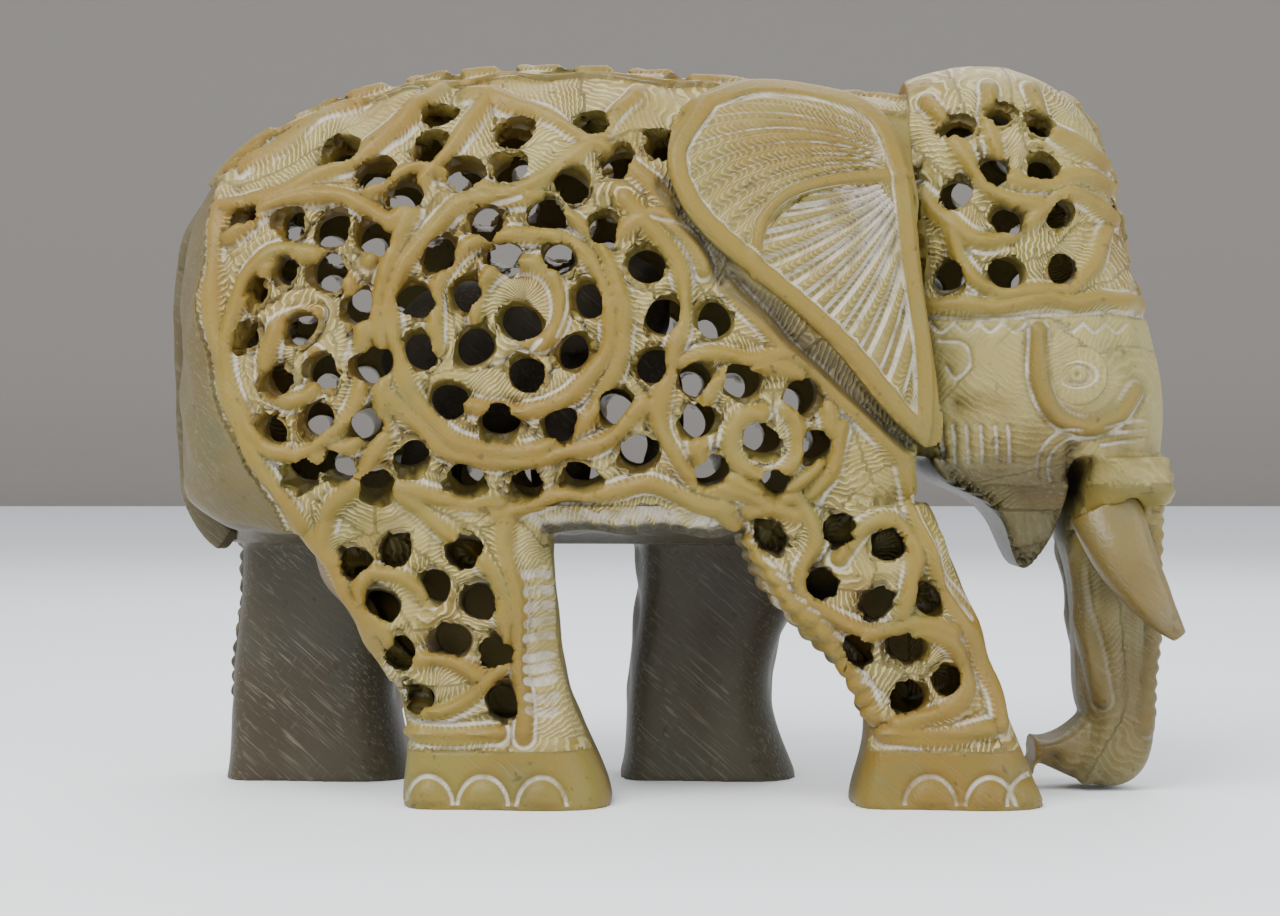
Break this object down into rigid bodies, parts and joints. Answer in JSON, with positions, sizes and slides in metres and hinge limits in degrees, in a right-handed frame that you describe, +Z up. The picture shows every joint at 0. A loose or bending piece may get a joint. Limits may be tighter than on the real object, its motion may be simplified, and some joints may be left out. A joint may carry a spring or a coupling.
{
  "type": "carved stone elephant figurine",
  "caption": "Walking elephant carved in openwork from one block of soft stone, hollow and pierced with drilled holes, with a loose calf inside the body.",
  "frame": {"origin": "under the middle of the figure's bounding box, on the surface it stands on", "axes": "+X forwards to the trunk, +Y to the elephant's left, +Z up"},
  "size_m": [0.2148, 0.0878, 0.1562],
  "materials": {
    "pierced_stone": "waxed, with fine carved lines",
    "olive_stone": "waxed, fluted",
    "plain_stone": "waxed, fine diagonal scratches",
    "amber_stone": "polished, a little translucent",
    "inner_stone": "dull, unpolished"
  },
  "bodies": {
    "block": {"back_panel": "pierced_stone", "flank_right": "pierced_stone", "flank_left": "pierced_stone", "chest": "pierced_stone", "rump": "pierced_stone", "tail": "plain_stone", "belly": "plain_stone", "foreleg_right": "pierced_stone", "foreleg_left": "pierced_stone", "hindleg_right": "pierced_stone", "hindleg_left": "pierced_stone", "forefoot_right": "olive_stone", "forefoot_left": "olive_stone", "hindfoot_right": "olive_stone", "hindfoot_left": "olive_stone", "crown": "pierced_stone", "brow_band": "pierced_stone", "face": "pierced_stone", "eye_right": "pierced_stone", "eye_left": "pierced_stone", "ear_right": "olive_stone", "ear_left": "olive_stone", "trunk": "pierced_stone", "tusk_right": "amber_stone", "tusk_left": "amber_stone", "jaw": "pierced_stone"},
    "calf": {"calf": "inner_stone"}
  },
  "joints": [
    {"name": "calf_slide", "type": "slide", "parent": "block", "child": "calf", "axis": [1, 0, 0], "range_m": [-0.005, 0.005]}
  ]
}
